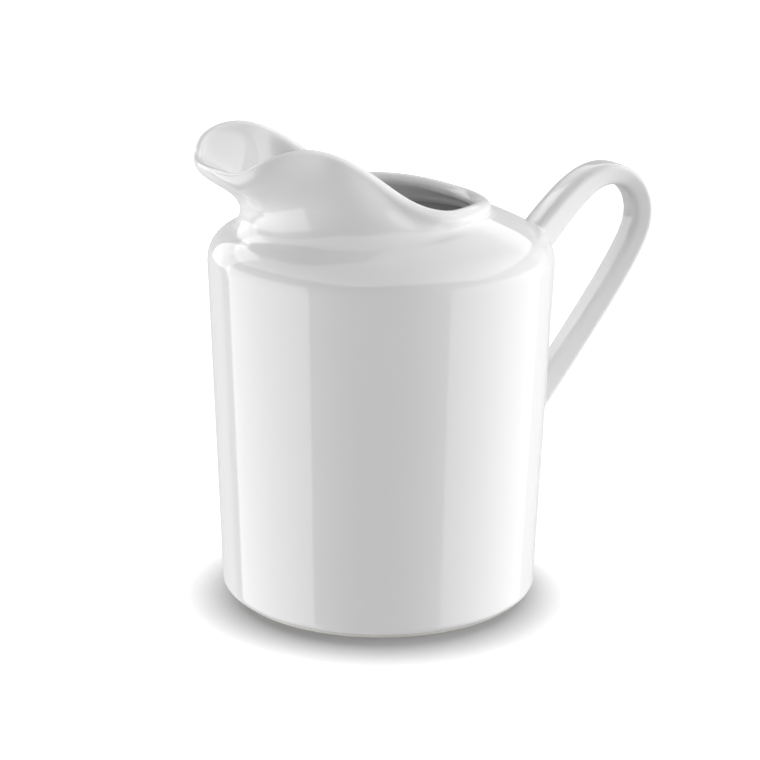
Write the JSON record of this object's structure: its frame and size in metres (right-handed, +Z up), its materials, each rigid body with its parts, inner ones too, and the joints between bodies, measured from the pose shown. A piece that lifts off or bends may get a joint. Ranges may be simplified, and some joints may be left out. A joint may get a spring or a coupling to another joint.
{
  "type": "cream jug",
  "caption": "White glazed porcelain cream jug with a round shouldered body, an oblique collar swept up into a wide flared pouring lip, and a loop handle.",
  "frame": {"origin": "centre of the unglazed foot ring, on the plane it stands on", "axes": "+Z up along the body's axis; the spout points along -X and the handle along +X, so XZ is the plane of symmetry"},
  "size_m": [0.1024, 0.0724, 0.0996],
  "materials": {
    "glazed_porcelain": "glossy transparent glaze over white porcelain",
    "glazed_slip": "glossy transparent glaze over white slip",
    "bare_porcelain": "matt, unglazed, polished smooth"
  },
  "bodies": {
    "root": {"body": "glazed_porcelain", "foot_ring": "bare_porcelain", "neck_and_spout": "glazed_porcelain", "neck_slip_seam": "glazed_slip", "handle": "glazed_porcelain", "handle_upper_slip": "glazed_slip", "handle_lower_slip": "glazed_slip"}
  },
  "joints": []
}
